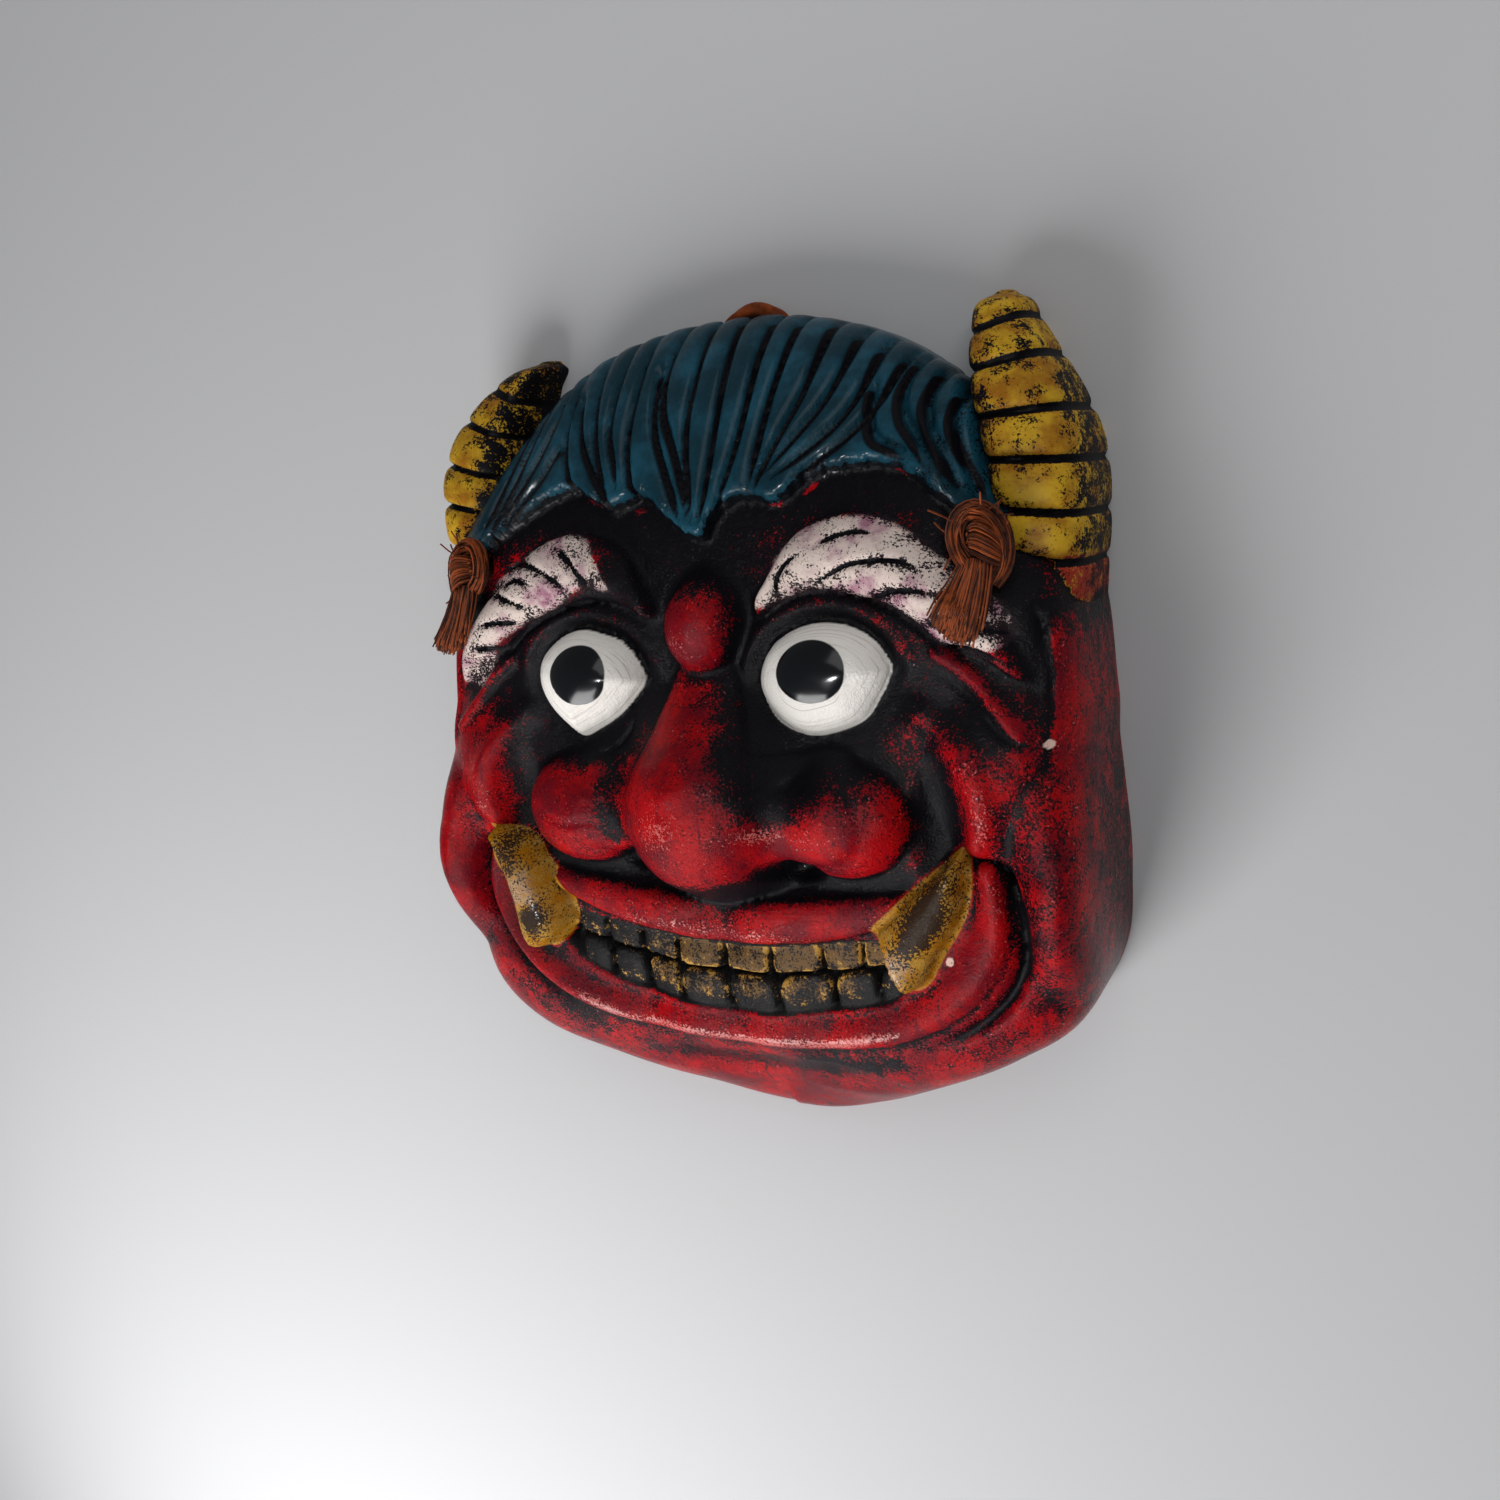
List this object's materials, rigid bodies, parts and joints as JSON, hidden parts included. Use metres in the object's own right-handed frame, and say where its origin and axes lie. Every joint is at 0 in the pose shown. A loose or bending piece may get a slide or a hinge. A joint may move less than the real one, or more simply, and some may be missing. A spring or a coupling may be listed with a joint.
{
  "type": "oni mask",
  "caption": "Hollow hand-painted clay oni mask with horns, carved hair, fangs and round nose, thread tassels at the temples and a hanging cord behind the crown.",
  "frame": {"origin": "middle of the mask's box at the back rim, on the plane the rim lies on", "axes": "+Z out of the face, +Y from chin to crown, +X to the right as one looks at the face"},
  "size_m": [0.1868, 0.227, 0.0705],
  "materials": {
    "painted_clay": "hand-painted red clay with a black wash in the hollows, satin lacquer",
    "rust_thread": "rust-brown twisted thread"
  },
  "bodies": {
    "root": {"mask": "painted_clay", "left_tassel": "rust_thread", "right_tassel": "rust_thread", "hanging_cord": "rust_thread"}
  },
  "joints": []
}
